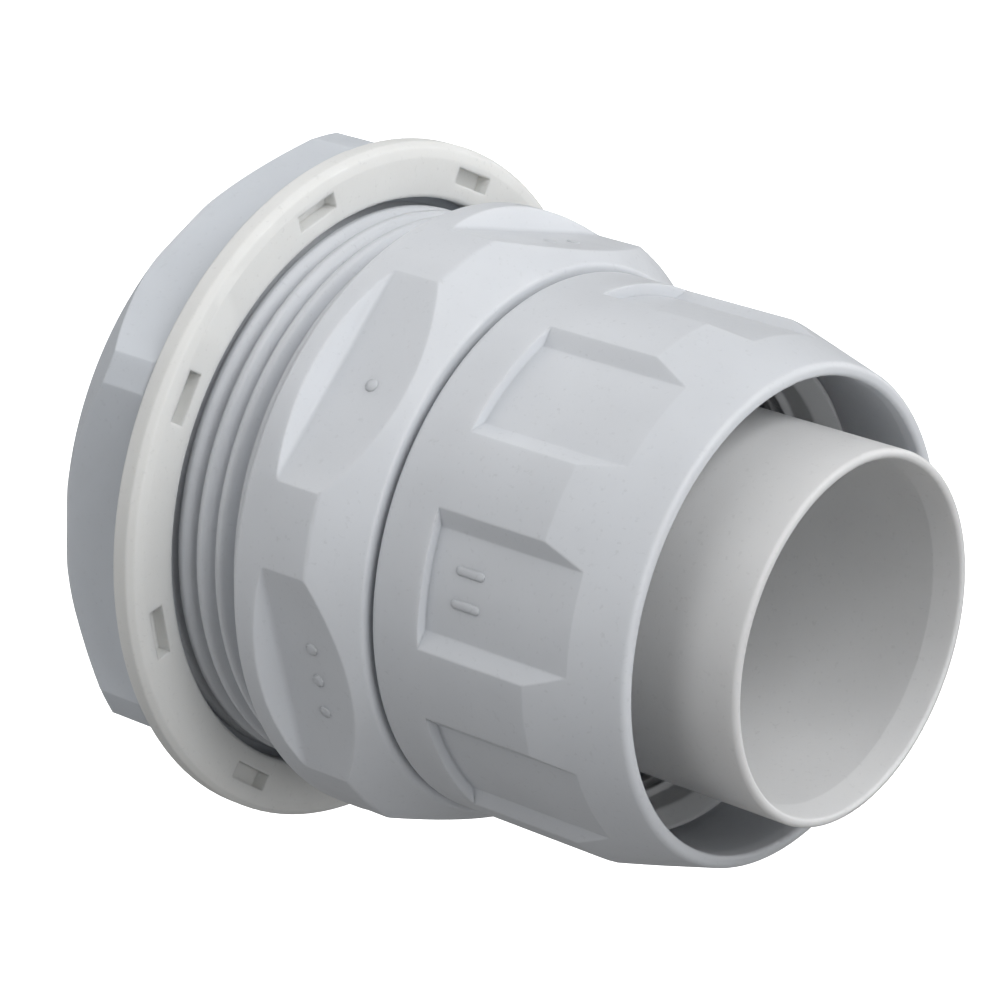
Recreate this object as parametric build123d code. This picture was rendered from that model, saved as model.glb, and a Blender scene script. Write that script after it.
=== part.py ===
from build123d import *
import math
import os

# Conduit gland with a PG 29 panel thread for 25 mm flexible conduit.
# Millimetres. +X is the gland's axis and points to the conduit, +Z is up, and the
# origin is on the axis, in the plane of the collar face that seats on the panel.

# ---- Driving dimensions ----------------------------------------------------
# Panel thread: PG 29, 16 turns per inch, right-handed
PANEL_PITCH = 25.4 / 16
PANEL_CREST_R = 18.5
PANEL_ROOT_R = 17.75
PANEL_END_X = -15.2
PANEL_BORE_R = 15.4
SEAT_SHOULDER_R = 18.6
SEAT_SHOULDER_X = -0.5

# Hexagonal collar
COLLAR_R = 20.1
COLLAR_APOTHEM = 18.6
COLLAR_FLAT_ANGLE = 133.8
COLLAR_FLAT_X = 2.25
COLLAR_SHOULDER_X = 1.5
COLLAR_CONE_X = 5.8
COLLAR_END_X = 8.75
COLLAR_END_R = 17.9

# Outlet tube, threaded for the compression nut
OUTLET_PITCH = 2.0
OUTLET_CREST_R = 15.7
OUTLET_ROOT_R = 14.95
OUTLET_END_X = 15.2
OUTLET_BORE_R = 13.9
WEB_BACK_X = -1.5
WEB_FRONT_X = 2.0

# Spigot that the conduit slides over
SPIGOT_R = 11.83
SPIGOT_ROOT_R = 12.05
SPIGOT_STOP_X = 15.0
SPIGOT_BORE_R = 10.87
SPIGOT_END_X = 32.4
SPIGOT_FLANGE_R = 14.8
SPIGOT_BACK_X = -4.0

# Compression nut
NUT_R = 17.6
NUT_BACK_X = 9.1
NUT_KNEE_X = 21.0
NUT_FRONT_X = 27.4
NUT_TAPER = 0.27
NUT_MOUTH_R = 15.1
NUT_CAVITY_R = 16.05
NUT_CAVITY_X = 17.0
PAD_COUNT = 8
PAD_ANGLE = 121.25
PAD_FLOOR_R = 16.85
PAD_BACK_X = 12.85
PAD_HALF_ANGLE = 14.2
PAD_FLOOR_HALF_ANGLE = 11.0

# Clamp ring between the nut's cone and the end of the outlet tube
CLAMP_BACK_X = 15.9
CLAMP_FRONT_X = 20.9
CLAMP_R = 15.75
CLAMP_BORE_R = 14.3
CLAMP_NOSE_LENGTH = 1.2
CLAMP_TOOTH_HEIGHT = 0.25
CLAMP_TEETH = 2
CLAMP_SPLIT_WIDTH = 2.4
CLAMP_SPLIT_ANGLE = 150.0
CLAMP_SLOTS = 12
CLAMP_SLOT_WIDTH = 0.7

# Conduit seal in the mouth of the outlet tube
SEAL_BACK_X = 10.6
SEAL_FRONT_X = 14.8

# Locknut
LOCKNUT_BACK_X = -14.5
LOCKNUT_FRONT_X = -7.8
LOCKNUT_APOTHEM = 20.0
LOCKNUT_CORNER_R = 22.5
LOCKNUT_FLAT_ANGLE = 116.7
LOCKNUT_BACK_R = 20.15
LOCKNUT_CHAMFER_X = -11.4

# Seal washer on the locknut's face
WASHER_R = 22.7
WASHER_HOLE_R = 19.1
WASHER_RIM_X = -6.6
WASHER_CREST_X = -6.0
POCKET_ANGLE = 62.3
POCKET_PITCH_ANGLE = 42.6
POCKETS_AT_PITCH = 5
POCKETS_SPREAD = 3
POCKET_R = 20.75
POCKET_WIDTH = 1.1
POCKET_LENGTH = 3.4
POCKET_FLOOR_X = -7.0

# Fits between pieces
THREAD_AXIAL_PLAY = 0.11
THREAD_RADIAL_PLAY = 0.15
PRESS_CLEARANCE = 0.03
FACE_GAP = 0.05


# ---- Helpers ---------------------------------------------------------------
def turned(*corners):
    """Solid of revolution about X. A corner is (x, radius) or (x, radius, rounding)."""
    points = [corner[:2] for corner in corners]
    roundings = [corner[2] if len(corner) == 3 else 0.0 for corner in corners]
    if any(roundings):
        outline = FilletPolyline(*points, radius=roundings, close=True)
    else:
        outline = Polyline(*points, close=True)
    return revolve(make_face(outline), Axis.X)


def tube(x_low, x_high, inner, outer):
    return turned((x_low, inner), (x_high, inner), (x_high, outer), (x_low, outer))


def turned_to(shape, angle):
    """The shape turned about X by an angle that counts from +Y towards +Z."""
    return Rot(X=angle) * shape


def around(shape, count, first_angle):
    return [turned_to(shape, first_angle + 360 * k / count) for k in range(count)]


def hexagon(x_low, x_high, apothem, flat_angle):
    """Hexagonal prism along X with the middle of one flat at flat_angle."""
    side_length = 2 * apothem / math.sqrt(3)
    corners = [(side_length * math.cos(math.radians(60 * k)), side_length * math.sin(math.radians(60 * k)))
               for k in range(6)]
    outline = make_face(Plane.YZ * Polyline(*corners, close=True))
    prism = extrude(outline, x_high - x_low, dir=(1, 0, 0))
    first_flat = 30
    return Pos(X=x_low) * turned_to(prism, flat_angle - first_flat)


def helical_band(section, pitch, x_low, x_high, middle_at_top):
    """Right-handed helical bar. section lists (offset along X, radius) round its outline."""
    edges = [
        Edge.make_helix(pitch, x_high - x_low, radius, center=(x_low + offset, 0, 0), normal=(1, 0, 0))
        for offset, radius in section
    ]
    sides = [Face.make_surface_from_curves(a, b) for a, b in zip(edges, edges[1:] + edges[:1])]
    ends = [Face(Wire.make_polygon([edge @ end for edge in edges], close=True)) for end in (0, 1)]
    band = Solid(Shell(sides + ends))
    start = edges[0] @ 0
    start_angle = math.degrees(math.atan2(start.Z, start.Y))
    wanted_angle = 90 + 360 * (x_low - middle_at_top) / pitch
    return turned_to(band, wanted_angle - start_angle)


def mirrored_section(rising):
    """Closed outline from the (half width, radius) steps of its right half."""
    return [(-half, r) for half, r in rising] + [(half, r) for half, r in reversed(rising)]


def groove_between_ridges(pitch, crest_r, root_r):
    """Section of the groove cut round a threaded tube, with rounded shoulders."""
    return mirrored_section([
        (0.06 * pitch, root_r),
        (0.31 * pitch, crest_r - 0.13),
        (0.41 * pitch, crest_r),
        (0.44 * pitch, crest_r + 0.3),
    ])


def groove_for_ridge(pitch, crest_r, root_r):
    """Section of the groove in a nut that clears the ridge of the threaded tube."""
    return mirrored_section([
        (0.40 * pitch + THREAD_AXIAL_PLAY, root_r - 0.35),
        (0.40 * pitch + THREAD_AXIAL_PLAY, root_r + 0.06 + THREAD_RADIAL_PLAY),
        (0.19 * pitch + THREAD_AXIAL_PLAY, crest_r - 0.13 + THREAD_RADIAL_PLAY),
        (0.09 * pitch + THREAD_AXIAL_PLAY, crest_r + THREAD_RADIAL_PLAY),
    ])


def threaded_tube(x_low, x_high, bore_r, pitch, crest_r, root_r):
    blank = tube(x_low, x_high, bore_r, crest_r)
    section = groove_between_ridges(pitch, crest_r, root_r)
    overrun = 1.5 * pitch
    return blank - helical_band(section, pitch, x_low - overrun, x_high + overrun, pitch / 2)


def save(node, shape):
    shape.label = node
    export_step(shape, f"parts/{node}.step")


# ---- Pieces ----------------------------------------------------------------
def collar_flat_cutter():
    """Bar that cuts one flat of the collar and slopes its shoulder, for a flat at angle 0."""
    outside = COLLAR_R + 1.5
    slope = (COLLAR_FLAT_X - COLLAR_SHOULDER_X) / (COLLAR_R - COLLAR_APOTHEM)
    outline = FilletPolyline(
        (COLLAR_FLAT_X, COLLAR_APOTHEM), (COLLAR_END_X + 1, COLLAR_APOTHEM), (COLLAR_END_X + 1, outside),
        (COLLAR_FLAT_X - slope * (outside - COLLAR_APOTHEM), outside),
        radius=[0.4, 0, 0, 0], close=True,
    )
    half_width = COLLAR_R * 0.6
    return extrude(make_face(outline), half_width, both=True)


def gland_body():
    """Panel thread, hexagonal collar and outlet thread in one moulding."""
    blank = turned(
        (0, PANEL_BORE_R), (WEB_FRONT_X, PANEL_BORE_R), (WEB_FRONT_X, OUTLET_BORE_R),
        (COLLAR_END_X, OUTLET_BORE_R), (COLLAR_END_X, COLLAR_END_R, 0.3),
        (COLLAR_CONE_X, COLLAR_R, 0.5), (0, COLLAR_R, 0.3),
    )
    web = tube(WEB_BACK_X, WEB_FRONT_X, SPIGOT_ROOT_R + PRESS_CLEARANCE, COLLAR_APOTHEM - 1)
    shoulder = tube(SEAT_SHOULDER_X, 1, PANEL_BORE_R, SEAT_SHOULDER_R)
    collar = blank - around(collar_flat_cutter(), 6, COLLAR_FLAT_ANGLE) + web + shoulder
    panel = threaded_tube(PANEL_END_X, 0, PANEL_BORE_R, PANEL_PITCH, PANEL_CREST_R, PANEL_ROOT_R)
    outlet = threaded_tube(COLLAR_END_X, OUTLET_END_X, OUTLET_BORE_R,
                           OUTLET_PITCH, OUTLET_CREST_R, OUTLET_ROOT_R)
    return collar + panel + outlet


def spigot_insert():
    """Tube pushed in from the panel side until its flange meets the body's web."""
    stop_height = SPIGOT_ROOT_R - SPIGOT_R
    return turned(
        (SPIGOT_BACK_X, SPIGOT_BORE_R, 0.4), (SPIGOT_END_X - 1.9, SPIGOT_BORE_R),
        (SPIGOT_END_X, SPIGOT_BORE_R + 0.39, 0.2), (SPIGOT_END_X, SPIGOT_R, 0.3),
        (SPIGOT_STOP_X + stop_height, SPIGOT_R), (SPIGOT_STOP_X, SPIGOT_ROOT_R),
        (WEB_BACK_X - FACE_GAP, SPIGOT_ROOT_R), (WEB_BACK_X - FACE_GAP, SPIGOT_FLANGE_R, 0.3),
        (SPIGOT_BACK_X, SPIGOT_FLANGE_R, 0.6),
    )


def conduit_seal():
    """Elastomer ring that the conduit's end presses into the mouth of the outlet tube."""
    inner = SPIGOT_ROOT_R + 0.05
    outer = OUTLET_BORE_R - 0.05
    middle = (inner + outer) / 2
    return turned(
        (SEAL_BACK_X, inner + 0.25, 0.2), (SEAL_BACK_X + 1.0, inner), (SEAL_FRONT_X, inner, 0.3),
        (SEAL_FRONT_X - 0.7, middle, 0.2), (SEAL_FRONT_X, outer, 0.3), (SEAL_BACK_X + 1.0, outer),
        (SEAL_BACK_X, outer - 0.25, 0.2),
    )


def clamp_ring():
    """Split ring with teeth inside, squeezed by the cone of the compression nut."""
    ring = turned(
        (CLAMP_BACK_X, CLAMP_BORE_R + 0.2), (CLAMP_FRONT_X - CLAMP_NOSE_LENGTH, CLAMP_BORE_R + 0.3, 0.3),
        (CLAMP_FRONT_X, CLAMP_R - 0.35, 0.1), (CLAMP_FRONT_X, CLAMP_R - 0.15, 0.05),
        (CLAMP_FRONT_X - 0.9, CLAMP_R, 0.3), (CLAMP_BACK_X + 1.5, CLAMP_R, 0.3),
        (CLAMP_BACK_X, CLAMP_BORE_R + 0.7, 0.2),
    )
    tooth_pitch = 1.0
    for k in range(CLAMP_TEETH):
        x = CLAMP_BACK_X + 0.6 + k * tooth_pitch
        ring += turned((x, CLAMP_BORE_R + 0.4), (x + 0.7, CLAMP_BORE_R + 0.4),
                       (x + 0.45, CLAMP_BORE_R - CLAMP_TOOTH_HEIGHT))
    slot = Pos(X=CLAMP_BACK_X + 1.2, Y=CLAMP_R) * Box(3.0, 8.0, CLAMP_SLOT_WIDTH)
    split = Pos(X=CLAMP_BACK_X, Y=CLAMP_R) * Box(20.0, 8.0, CLAMP_SPLIT_WIDTH)
    first_slot = CLAMP_SPLIT_ANGLE + 180 / CLAMP_SLOTS
    return ring - around(slot, CLAMP_SLOTS, first_slot) - turned_to(split, CLAMP_SPLIT_ANGLE)


def grip_pad_cutter():
    """Pocket with a floor round the axis, open where the nut's taper drops below the floor."""
    def point(radius, angle):
        return (radius * math.cos(math.radians(angle)), radius * math.sin(math.radians(angle)))

    outside_r = NUT_R + 0.8
    rise = (outside_r - PAD_FLOOR_R) / (NUT_R - PAD_FLOOR_R)
    outside_half = PAD_FLOOR_HALF_ANGLE + (PAD_HALF_ANGLE - PAD_FLOOR_HALF_ANGLE) * rise
    floor = ThreePointArc(point(PAD_FLOOR_R, -PAD_FLOOR_HALF_ANGLE), point(PAD_FLOOR_R, 0),
                          point(PAD_FLOOR_R, PAD_FLOOR_HALF_ANGLE))
    top = ThreePointArc(point(outside_r, outside_half), point(outside_r, 0), point(outside_r, -outside_half))
    outline = [floor, Line(floor @ 1, top @ 0), top, Line(top @ 1, floor @ 0)]
    section = Plane.YZ * make_face(outline)
    cutter = extrude(section, NUT_FRONT_X - PAD_BACK_X, dir=(1, 0, 0))
    return Pos(X=PAD_BACK_X) * cutter


def compression_nut():
    """Nut with recessed grip pads, an inner cone and a round mouth for the conduit."""
    front_r = NUT_R - NUT_TAPER * (NUT_FRONT_X - NUT_KNEE_X)
    bore_r = OUTLET_ROOT_R + 0.2
    cone_x = CLAMP_FRONT_X - 0.2
    thread_back_x = NUT_BACK_X + 0.9
    nut = turned(
        (NUT_BACK_X, OUTLET_CREST_R + 0.5, 0.2), (thread_back_x, bore_r), (NUT_CAVITY_X - 0.8, bore_r),
        (NUT_CAVITY_X, NUT_CAVITY_R), (cone_x, NUT_CAVITY_R), (NUT_FRONT_X - 1.0, NUT_MOUTH_R, 1.5),
        (NUT_FRONT_X, NUT_MOUTH_R, 0.25), (NUT_FRONT_X, front_r, 0.45),
        (NUT_KNEE_X, NUT_R, 0.5), (NUT_BACK_X, NUT_R, 0.4),
    )
    section = groove_for_ridge(OUTLET_PITCH, OUTLET_CREST_R, OUTLET_ROOT_R)
    groove = helical_band(section, OUTLET_PITCH, NUT_BACK_X - 1.5, NUT_CAVITY_X + 0.5, 0)
    return nut - groove - around(grip_pad_cutter(), PAD_COUNT, PAD_ANGLE)


def locknut():
    """Thin hexagonal nut with its corners turned round and its back edge chamfered."""
    bore_r = PANEL_ROOT_R + 0.2
    turning = turned(
        (LOCKNUT_BACK_X, bore_r + 0.5), (LOCKNUT_BACK_X + 0.5, bore_r), (LOCKNUT_FRONT_X - 0.5, bore_r),
        (LOCKNUT_FRONT_X, bore_r + 0.5), (LOCKNUT_FRONT_X, LOCKNUT_CORNER_R, 0.3),
        (LOCKNUT_CHAMFER_X, LOCKNUT_CORNER_R, 0.4), (LOCKNUT_BACK_X, LOCKNUT_BACK_R, 0.3),
    )
    prism = hexagon(LOCKNUT_BACK_X - 1, LOCKNUT_FRONT_X + 1, LOCKNUT_APOTHEM, LOCKNUT_FLAT_ANGLE)
    section = groove_for_ridge(PANEL_PITCH, PANEL_CREST_R, PANEL_ROOT_R)
    groove = helical_band(section, PANEL_PITCH, LOCKNUT_BACK_X - 1.2, LOCKNUT_FRONT_X + 1.2, 0)
    return (turning & prism) - groove


def seal_washer():
    """Soft ring with a rounded outer lip and a circle of eight shallow pockets."""
    back_x = LOCKNUT_FRONT_X + FACE_GAP
    ring = turned(
        (back_x, WASHER_HOLE_R), (WASHER_CREST_X, WASHER_HOLE_R, 0.25), (WASHER_CREST_X, WASHER_R - 1.0, 0.3),
        (WASHER_RIM_X + 0.45, WASHER_R - 0.35, 0.2), (WASHER_RIM_X, WASHER_R, 0.2), (back_x, WASHER_R, 0.2),
    )
    pocket = Pos(X=POCKET_FLOOR_X + 2.5, Y=POCKET_R) * Box(5.0, POCKET_WIDTH, POCKET_LENGTH)
    last_angle = POCKET_ANGLE + (POCKETS_AT_PITCH - 1) * POCKET_PITCH_ANGLE
    spread_pitch = (360 + POCKET_ANGLE - last_angle) / (POCKETS_SPREAD + 1)
    angles = [POCKET_ANGLE + k * POCKET_PITCH_ANGLE for k in range(POCKETS_AT_PITCH)]
    angles += [last_angle + (k + 1) * spread_pitch for k in range(POCKETS_SPREAD)]
    return ring - [turned_to(pocket, angle) for angle in angles]


os.makedirs("parts", exist_ok=True)
for piece in (gland_body, spigot_insert, conduit_seal, clamp_ring, compression_nut, locknut, seal_washer):
    save(piece.__name__, piece())
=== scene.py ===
"""Conduit gland: looks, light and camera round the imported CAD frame. Metres, +X to the conduit, +Z up."""

import math

import bmesh
import bpy
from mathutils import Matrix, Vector


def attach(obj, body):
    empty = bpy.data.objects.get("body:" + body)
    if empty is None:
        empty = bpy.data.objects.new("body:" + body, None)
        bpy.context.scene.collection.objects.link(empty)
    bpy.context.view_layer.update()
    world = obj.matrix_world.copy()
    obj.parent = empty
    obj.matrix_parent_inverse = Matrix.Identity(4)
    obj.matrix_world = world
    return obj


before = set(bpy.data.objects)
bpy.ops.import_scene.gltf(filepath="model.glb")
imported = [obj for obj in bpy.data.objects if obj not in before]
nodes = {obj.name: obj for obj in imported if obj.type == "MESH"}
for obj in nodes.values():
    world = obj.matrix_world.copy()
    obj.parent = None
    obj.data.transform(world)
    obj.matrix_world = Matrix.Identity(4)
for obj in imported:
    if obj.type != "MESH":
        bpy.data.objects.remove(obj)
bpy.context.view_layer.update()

MM = 0.001


# ---- Materials ---------------------------------------------------------------
CLOUD_MM = 9.0
CLOUD_SPREAD = 0.03
SPECK_MM = 0.35
SPECK_TONE = 0.93
# Painted highlight: sharp edges are painted this much lighter than the plastic.
EDGE_HIGHLIGHT_TONE = 1.12
EDGE_RADIUS = 0.22 * MM
GLOSS_PATCH_MM = 2.5
RIPPLE_MM = 6.0
RIPPLE_DEPTH_MM = 0.04
SUBSURFACE_SCALE = 1.5 * MM

# Sockets of a Mix node that mixes colours.
MIX_FACTOR = 0
MIX_FIRST = 6
MIX_SECOND = 7
MIX_RESULT = 2


class Shader:
    """A material and short ways to add and join its nodes."""

    def __init__(self, name):
        self.material = bpy.data.materials.new(name)
        self.material.use_nodes = True
        self.tree = self.material.node_tree
        self.bsdf = self.tree.nodes["Principled BSDF"]
        self.place = self.add("ShaderNodeTexCoord").outputs["Object"]

    def add(self, kind, **settings):
        node = self.tree.nodes.new(kind)
        for key, value in settings.items():
            setattr(node, key, value)
        return node

    def join(self, source, target):
        self.tree.links.new(source, target)

    def noise(self, size_mm, detail=3.0, roughness=0.5):
        node = self.add("ShaderNodeTexNoise")
        node.inputs["Scale"].default_value = 1 / (size_mm * MM)
        node.inputs["Detail"].default_value = detail
        node.inputs["Roughness"].default_value = roughness
        self.join(self.place, node.inputs["Vector"])
        return node.outputs["Fac"]

    def spread(self, source, low, high, source_low=0.3, source_high=0.7):
        """Stretch source_low to source_high over low to high. The defaults hold most of a noise."""
        node = self.add("ShaderNodeMapRange")
        node.inputs["From Min"].default_value = source_low
        node.inputs["From Max"].default_value = source_high
        node.inputs["To Min"].default_value = low
        node.inputs["To Max"].default_value = high
        self.join(source, node.inputs["Value"])
        return node.outputs["Result"]

    def mix(self, factor, first, second):
        """Mix two colours, each given as numbers or as another node's output."""
        node = self.add("ShaderNodeMix", data_type="RGBA")
        self.join(factor, node.inputs[MIX_FACTOR])
        for index, colour in ((MIX_FIRST, first), (MIX_SECOND, second)):
            if isinstance(colour, bpy.types.NodeSocket):
                self.join(colour, node.inputs[index])
            else:
                node.inputs[index].default_value = (*colour, 1.0)
        return node.outputs[MIX_RESULT]

    def bump(self, height, depth_mm, under):
        """Bump on top of the normal that under gives."""
        node = self.add("ShaderNodeBump")
        node.inputs["Distance"].default_value = depth_mm * MM
        node.inputs["Strength"].default_value = 1.0
        self.join(height, node.inputs["Height"])
        self.join(under, node.inputs["Normal"])
        return node.outputs["Normal"]


def toned(colour, factor):
    return [min(1.0, channel * factor) for channel in colour]


def moulded_plastic(name, colour, roughness, grain_mm, grain_depth_mm, subsurface=0.4):
    """Satin moulded plastic: cloudy tint, dark specks, a painted highlight on sharp edges, fine grain and a
    faint ripple.
    """
    shader = Shader(name)
    cloud = shader.spread(shader.noise(CLOUD_MM), 0.0, 1.0)
    tint = shader.mix(cloud, toned(colour, 1 - CLOUD_SPREAD), toned(colour, 1 + CLOUD_SPREAD))
    speck = shader.spread(shader.noise(SPECK_MM, detail=2.0), 0.0, 1.0, source_low=0.62, source_high=0.75)
    tint = shader.mix(speck, tint, toned(colour, SPECK_TONE))
    # Painted highlight: sharp convex edges are painted lighter, as if they caught the light.
    sharpness = shader.add("ShaderNodeNewGeometry").outputs["Pointiness"]
    painted_edge_highlight = shader.spread(sharpness, 0.0, 0.5, source_low=0.52, source_high=0.60)
    tint = shader.mix(painted_edge_highlight, tint, toned(colour, EDGE_HIGHLIGHT_TONE))
    gloss = shader.spread(shader.noise(GLOSS_PATCH_MM), roughness - 0.05, roughness + 0.06)

    soft_edge = shader.add("ShaderNodeBevel", samples=4)
    soft_edge.inputs["Radius"].default_value = EDGE_RADIUS
    grain = shader.noise(grain_mm, detail=4.0, roughness=0.6)
    grained = shader.bump(grain, grain_depth_mm, under=soft_edge.outputs["Normal"])
    rippled = shader.bump(shader.noise(RIPPLE_MM, detail=1.0), RIPPLE_DEPTH_MM, under=grained)

    shader.join(tint, shader.bsdf.inputs["Base Color"])
    shader.join(gloss, shader.bsdf.inputs["Roughness"])
    shader.join(rippled, shader.bsdf.inputs["Normal"])
    shader.bsdf.inputs["Subsurface Weight"].default_value = subsurface
    shader.bsdf.inputs["Subsurface Radius"].default_value = (1.0, 0.95, 0.9)
    shader.bsdf.inputs["Subsurface Scale"].default_value = SUBSURFACE_SCALE
    shader.bsdf.inputs["IOR"].default_value = 1.5
    return shader.material


def dress(node, material):
    for slot in nodes[node].material_slots:
        slot.material = material


GREY = (0.59, 0.61, 0.64)
LOCKNUT_GREY = (0.57, 0.60, 0.64)
# Painted light: the spigot's grey is lighter than the body's grey, to make up for light the lamps don't give
# it.
SPIGOT_GREY_PAINTED_LIGHTER = (0.63, 0.635, 0.64)
CLAMP_GREY = (0.62, 0.63, 0.64)
IVORY = (0.70, 0.705, 0.695)
BLACK = (0.05, 0.05, 0.05)

body_plastic = moulded_plastic("body_plastic", GREY, roughness=0.42, grain_mm=0.25, grain_depth_mm=0.006)
nut_plastic = moulded_plastic("nut_plastic", GREY, roughness=0.40, grain_mm=0.3, grain_depth_mm=0.004)
dress("gland_body", body_plastic)
dress("spigot_insert", moulded_plastic(
    "spigot_plastic", SPIGOT_GREY_PAINTED_LIGHTER, roughness=0.40, grain_mm=0.3, grain_depth_mm=0.004))
dress("compression_nut", nut_plastic)
dress("locknut", moulded_plastic(
    "locknut_plastic", LOCKNUT_GREY, roughness=0.42, grain_mm=0.3, grain_depth_mm=0.004))
dress("seal_washer", moulded_plastic(
    "washer_plastic", IVORY, roughness=0.5, grain_mm=0.4, grain_depth_mm=0.008, subsurface=0.5))
dress("clamp_ring", moulded_plastic(
    "clamp_plastic", CLAMP_GREY, roughness=0.38, grain_mm=0.3, grain_depth_mm=0.004))
dress("conduit_seal", moulded_plastic(
    "seal_rubber", BLACK, roughness=0.6, grain_mm=0.3, grain_depth_mm=0.01, subsurface=0.0))


# ---- Raised marks ------------------------------------------------------------
# Neutral bars on one grip pad of the nut, and neutral dots on three flats of the collar.
# Places and sizes are in millimetres and degrees.
MARK_HEIGHT = 0.12 * MM

NUT_PAD_R = 16.85
NUT_PAD_ANGLE = 166.25
NUT_PAD_BARS = 2
BAR_X = 15.8
BAR_LENGTH = 2.2
BAR_WIDTH = 0.6
BAR_STEP_ANGLE = 7.0

COLLAR_APOTHEM = 18.6
COLLAR_FLAT_ANGLES = (133.8, 193.8, 73.8)
COLLAR_FLAT_DOTS = (1, 3, 2)
DOT_X = 5.2
DOT_WIDTH = 0.9
DOT_STEP = 2.4


def raised_mark(name, length_mm, width_mm, radius_mm, angle_deg, x_mm, body, material):
    """A low rounded bar along the axis, or a dot, that lies on a face whose normal stands at angle_deg."""
    mesh = bpy.data.meshes.new(name)
    shape = bmesh.new()
    bmesh.ops.create_uvsphere(shape, u_segments=32, v_segments=16, radius=0.5)
    straight = (length_mm - width_mm) / 2
    middle = 0.001
    for vertex in shape.verts:
        side = math.copysign(straight, vertex.co.x) if abs(vertex.co.x) > middle else 0.0
        vertex.co = Vector((
            (vertex.co.x * width_mm + side) * MM,
            vertex.co.y * width_mm * MM,
            vertex.co.z * 2 * MARK_HEIGHT,
        ))
    shape.to_mesh(mesh)
    shape.free()
    for polygon in mesh.polygons:
        polygon.use_smooth = True
    mesh.materials.append(material)
    mark = bpy.data.objects.new(name, mesh)
    turn = math.radians(angle_deg)
    outwards = Vector((0, math.cos(turn), math.sin(turn)))
    mark.rotation_euler = (turn - math.pi / 2, 0, 0)
    mark.location = outwards * radius_mm * MM + Vector((x_mm * MM, 0, 0))
    bpy.context.scene.collection.objects.link(mark)
    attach(mark, body)


def add_nut_bars():
    for k in range(NUT_PAD_BARS):
        angle = NUT_PAD_ANGLE + BAR_STEP_ANGLE * (k - (NUT_PAD_BARS - 1) / 2)
        raised_mark(f"nut_mark_{k}", BAR_LENGTH, BAR_WIDTH, NUT_PAD_R, angle, BAR_X, "nut", nut_plastic)


def add_collar_dots():
    """A row of dots across each flat. A dot beside the flat's middle stands further from the axis."""
    for flat, (flat_angle, dots) in enumerate(zip(COLLAR_FLAT_ANGLES, COLLAR_FLAT_DOTS)):
        for k in range(dots):
            across = DOT_STEP * (k - (dots - 1) / 2)
            lean = math.atan2(across, COLLAR_APOTHEM)
            radius = COLLAR_APOTHEM / math.cos(lean)
            angle = flat_angle + math.degrees(lean)
            raised_mark(f"collar_mark_{flat}_{k}", DOT_WIDTH, DOT_WIDTH, radius, angle, DOT_X,
                        "body", body_plastic)


add_nut_bars()
add_collar_dots()


# ---- Floor, light and camera -------------------------------------------------
FLOOR_Z = -0.075
STAGE_HALF = 3.0
PAPER_CLOUD_MM = 400.0
PAPER_GLOW = 0.95
WORLD_STRENGTH = 0.225
VIEW_AZIMUTH = math.radians(40.22)
VIEW_ELEVATION = math.radians(22.41)
VIEW_TARGET = Vector((0.00389, 0.0007, 0.00129))
VIEW_DISTANCE = 0.2758
LENS_MM = 155.1
SENSOR_MM = 36.0
LIGHT_TARGET = Vector((0.008, 0, 0))
LIGHT_DISTANCE = 0.6


def towards(azimuth, elevation):
    """Unit vector from the object out to a viewer. Azimuth 0 stands on -Y, and 90 degrees on +X."""
    flat = math.cos(elevation)
    return Vector((math.sin(azimuth) * flat, -math.cos(azimuth) * flat, math.sin(elevation)))


def aim(thing, target):
    thing.rotation_euler = (thing.location - target).to_track_quat("Z", "Y").to_euler()


def add_camera():
    data = bpy.data.cameras.new("camera")
    data.lens = LENS_MM
    data.sensor_width = SENSOR_MM
    data.clip_start = 0.01
    data.clip_end = 10.0
    camera = bpy.data.objects.new("camera", data)
    camera.location = VIEW_TARGET + VIEW_DISTANCE * towards(VIEW_AZIMUTH, VIEW_ELEVATION)
    aim(camera, VIEW_TARGET)
    bpy.context.scene.collection.objects.link(camera)
    bpy.context.scene.camera = camera


def add_softbox(name, azimuth_deg, elevation_deg, side, watts):
    """A square white area light, aimed at the gland. Its side is in metres."""
    data = bpy.data.lights.new(name, "AREA")
    data.shape = "RECTANGLE"
    data.size = side
    data.size_y = side
    data.energy = watts
    light = bpy.data.objects.new(name, data)
    light.location = LIGHT_DISTANCE * towards(math.radians(azimuth_deg), math.radians(elevation_deg))
    aim(light, LIGHT_TARGET)
    bpy.context.scene.collection.objects.link(light)


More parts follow.
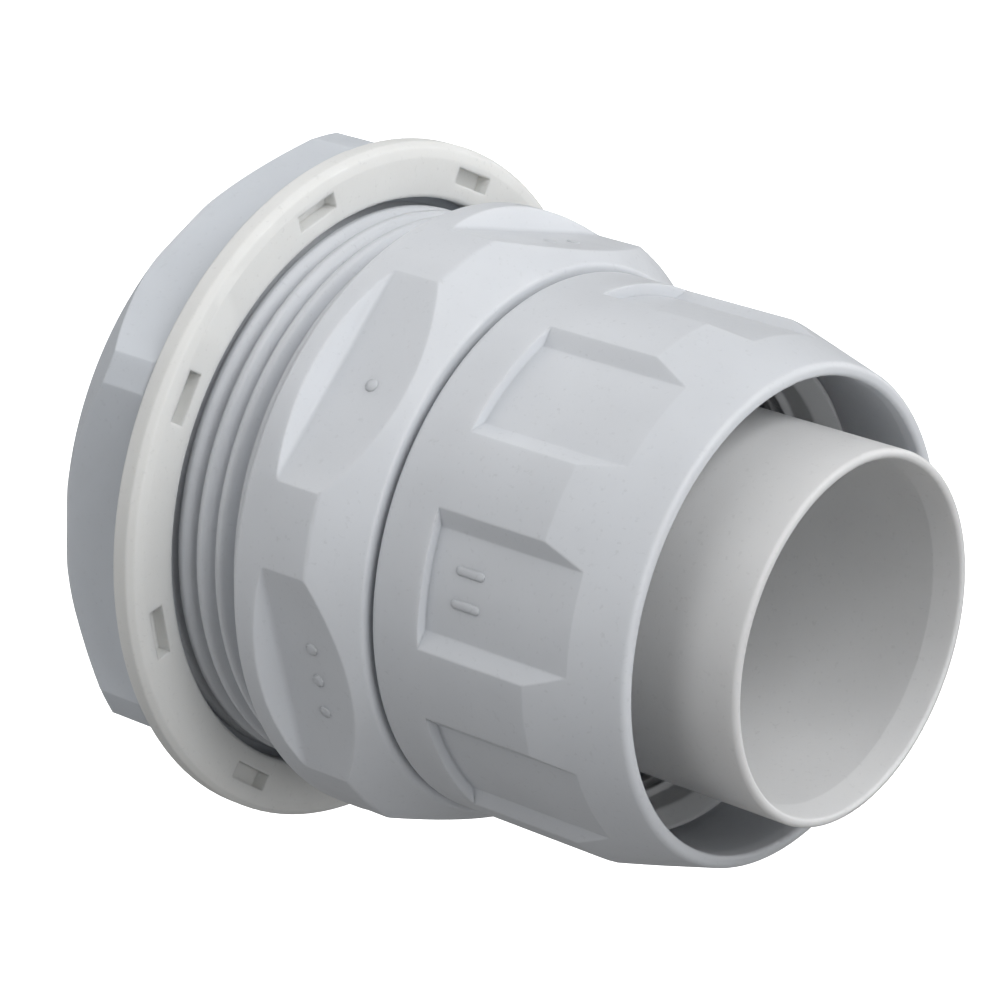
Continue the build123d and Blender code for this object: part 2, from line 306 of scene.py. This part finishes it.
def pale_paper(name):
    """White studio paper with faint clouds, bright enough to stay white under soft light."""
    shader = Shader(name)
    cloud = shader.spread(shader.noise(PAPER_CLOUD_MM), 0.0, 1.0)
    tone = shader.mix(cloud, (0.90, 0.90, 0.90), (0.93, 0.93, 0.93))
    shader.join(tone, shader.bsdf.inputs["Base Color"])
    shader.join(tone, shader.bsdf.inputs["Emission Color"])
    shader.bsdf.inputs["Roughness"].default_value = 0.9
    shader.bsdf.inputs["Emission Strength"].default_value = PAPER_GLOW
    return shader.material


def add_stage(name, mesh, material):
    """A floor or backdrop that the camera sees and that sends no light to the object."""
    mesh.materials.append(material)
    thing = bpy.data.objects.new(name, mesh)
    thing.visible_diffuse = False
    thing.visible_glossy = False
    thing.visible_shadow = False
    bpy.context.scene.collection.objects.link(thing)


def add_floor():
    half = STAGE_HALF
    corners = [(-half, -half, FLOOR_Z), (half, -half, FLOOR_Z), (half, half, FLOOR_Z), (-half, half, FLOOR_Z)]
    mesh = bpy.data.meshes.new("floor")
    mesh.from_pydata(corners, [], [(0, 1, 2, 3)])
    add_stage("floor", mesh, pale_paper("floor_paper"))


def add_backdrop():
    """A white dome round the whole stage."""
    mesh = bpy.data.meshes.new("backdrop")
    dome = bmesh.new()
    bmesh.ops.create_uvsphere(dome, u_segments=48, v_segments=24, radius=STAGE_HALF)
    dome.to_mesh(mesh)
    dome.free()
    add_stage("backdrop", mesh, pale_paper("backdrop_paper"))


def add_world():
    world = bpy.data.worlds.new("studio")
    world.use_nodes = True
    background = world.node_tree.nodes["Background"]
    background.inputs["Color"].default_value = (1.0, 1.0, 1.0, 1.0)
    background.inputs["Strength"].default_value = WORLD_STRENGTH
    bpy.context.scene.world = world


add_camera()
add_floor()
add_backdrop()
add_world()
add_softbox("key_high_right", 120, 45, side=0.30, watts=1.44)
add_softbox("key_right", 75, 45, side=0.30, watts=1.22)
add_softbox("fill_right", 75, 10, side=0.30, watts=0.84)
add_softbox("back", 250, 35, side=0.40, watts=0.65)
add_softbox("rim", 165, 10, side=0.30, watts=0.54)
add_softbox("fill_left", -15, 10, side=0.30, watts=0.52)
add_softbox("side_left", -60, 45, side=0.30, watts=0.46)
add_softbox("top", 40, 85, side=0.40, watts=0.20)
add_softbox("fill_high_left", -15, 45, side=0.30, watts=0.12)
bpy.context.scene.view_settings.view_transform = "Standard"
